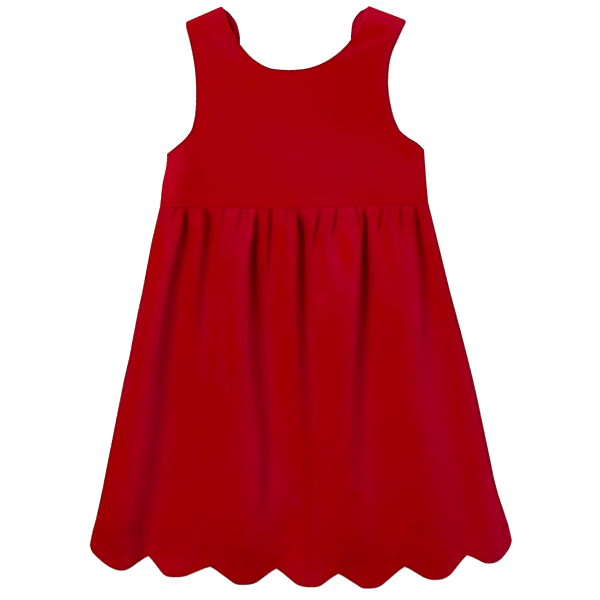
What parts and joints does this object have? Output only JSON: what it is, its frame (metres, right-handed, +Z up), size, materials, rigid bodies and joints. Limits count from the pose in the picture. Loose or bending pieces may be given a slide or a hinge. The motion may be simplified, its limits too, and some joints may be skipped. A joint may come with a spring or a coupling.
{
  "type": "toddler party dress",
  "caption": "Sleeveless red velvet dress for a toddler, laid flat, with wide straps, a scooped neck, a gathered skirt and a scalloped hem.",
  "frame": {"origin": "on the plane the dress lies on, under the middle of its outline", "axes": "+Z up out of the front of the dress as it lies on its back, +Y from hem to shoulders, +X to the right as seen from above"},
  "size_m": [0.4212, 0.5819, 0.0119],
  "materials": {
    "bodice_velvet": "deep red cotton velvet, short dense pile with a soft sheen",
    "skirt_velvet": "deep red cotton velvet, short dense pile with a soft sheen"
  },
  "bodies": {
    "root": {"front_bodice": "bodice_velvet", "back_bodice": "bodice_velvet", "front_skirt": "skirt_velvet", "back_skirt": "skirt_velvet"}
  },
  "joints": []
}
